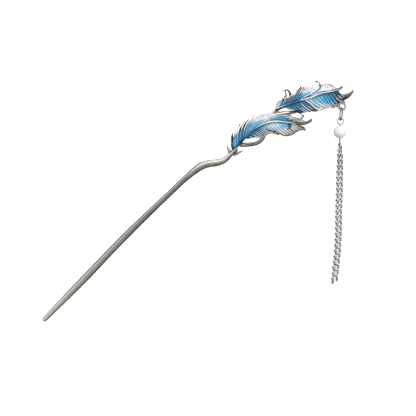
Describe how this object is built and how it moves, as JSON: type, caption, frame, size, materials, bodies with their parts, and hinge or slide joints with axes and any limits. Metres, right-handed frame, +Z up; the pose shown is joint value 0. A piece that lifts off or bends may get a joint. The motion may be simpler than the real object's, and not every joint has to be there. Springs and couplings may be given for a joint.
{
  "type": "hair stick",
  "caption": "Hair stick with a tapered shaft, two overlapping enamelled feathers and a drop of a bead and fine curb chains, lying flat.",
  "frame": {"origin": "middle of the part's footprint, at the height of the surface that it lies on", "axes": "+X along the shaft from its point to the feathers, +Y across, from the chains' free ends to the feathers, +Z up, out of the enamelled front"},
  "size_m": [0.1724, 0.0836, 0.006],
  "materials": {
    "antique_silver": "satin antique silver plate, dark in the recesses",
    "blue_enamel": "glossy translucent enamel over ribbed metal",
    "pale_enamel": "glossy translucent enamel over ribbed metal",
    "bright_wire": "polished silver plate",
    "milky_bead": "polished milky white",
    "chain_silver": "silver plate, lightly aged"
  },
  "bodies": {
    "root": {"casting": "antique_silver", "enamel_lower_back": "blue_enamel", "enamel_lower_front": "blue_enamel", "enamel_upper_back": "blue_enamel", "enamel_upper_tip": "pale_enamel", "enamel_upper_front": "blue_enamel", "jump_ring": "bright_wire", "eye_pin": "bright_wire", "bead": "milky_bead", "chain_left": "chain_silver", "chain_right": "chain_silver"}
  },
  "joints": []
}
